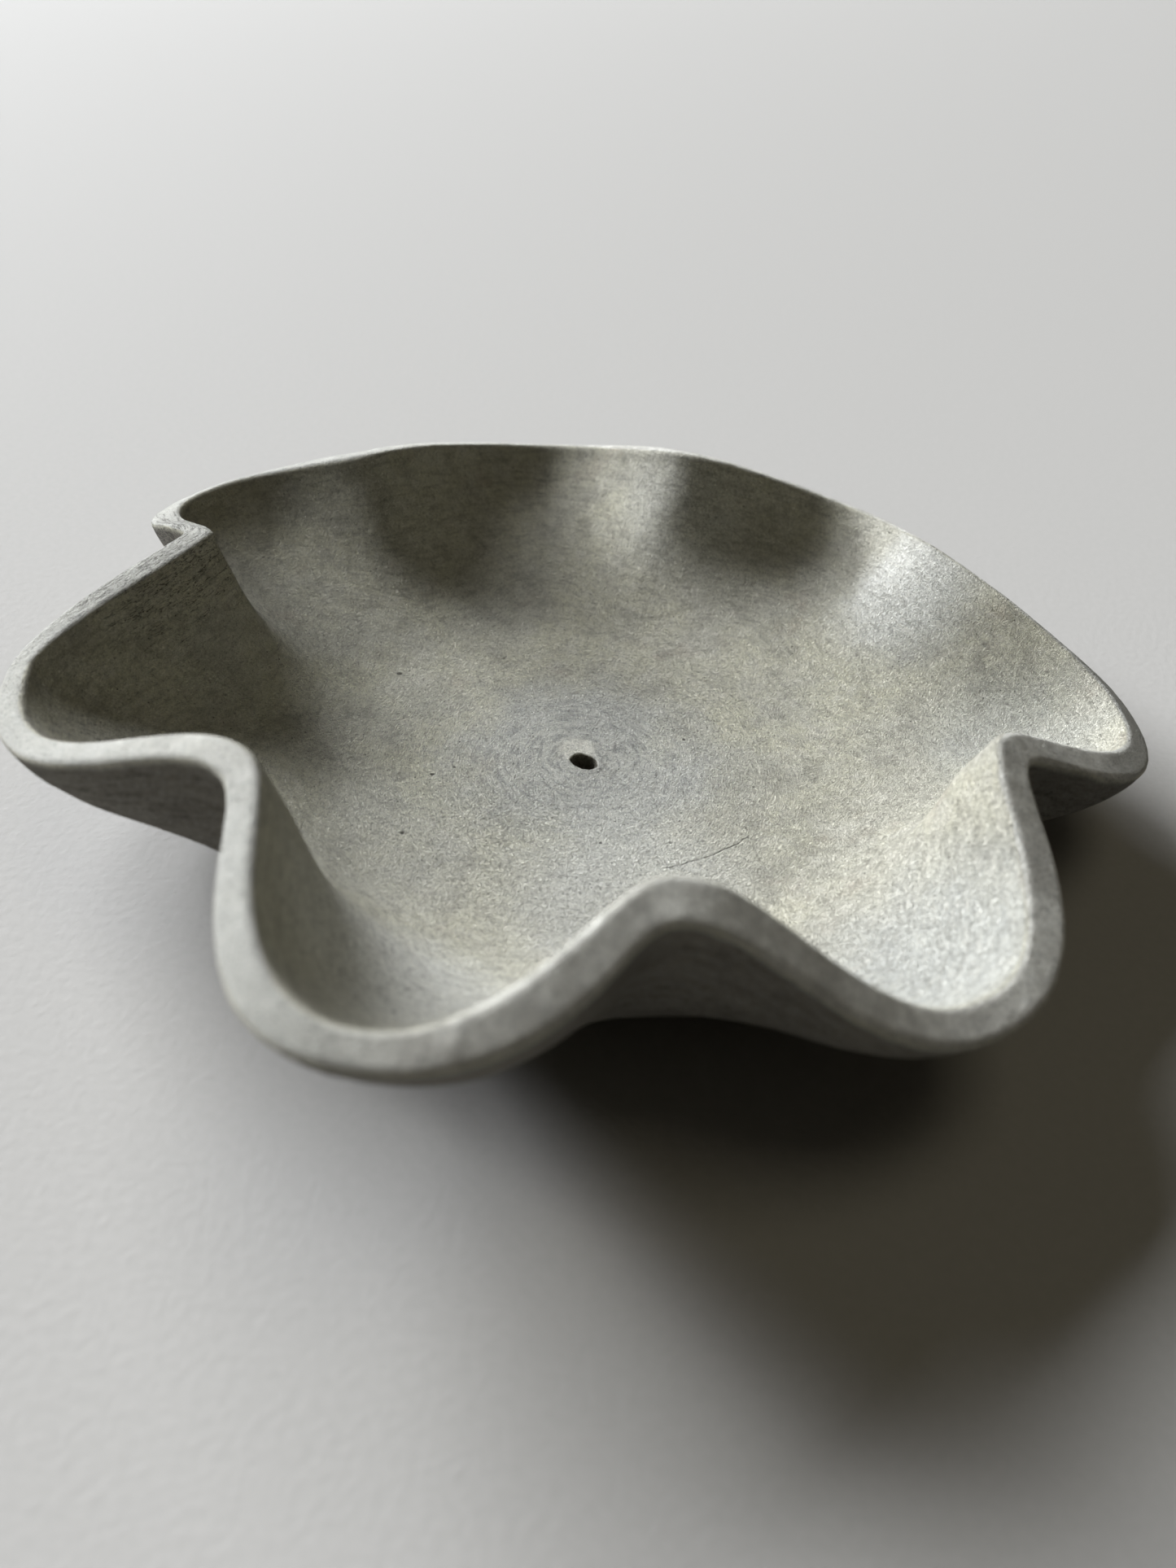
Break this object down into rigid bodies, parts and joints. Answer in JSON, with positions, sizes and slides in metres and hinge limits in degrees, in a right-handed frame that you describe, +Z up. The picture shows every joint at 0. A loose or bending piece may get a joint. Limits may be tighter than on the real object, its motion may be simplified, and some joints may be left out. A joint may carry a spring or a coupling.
{
  "type": "ruffled bowl",
  "caption": "Free-standing ruffled paper-pulp bowl with a wavy flat-cut rim, flat foot and a small hole through the middle of the floor, for display, fruit or keepsakes.",
  "frame": {"origin": "centre of the hole on the foot, on the plane the bowl stands on", "axes": "+Z up through the hole; -Y towards the tall pair of front folds; +X to the right seen from the front"},
  "size_m": [0.4023, 0.4117, 0.1017],
  "materials": {
    "paper_pulp": "matt unglazed grey-beige pulp, fibrous, with fine pits and short cracks"
  },
  "bodies": {
    "root": {"ruffled_bowl": "paper_pulp"}
  },
  "joints": []
}
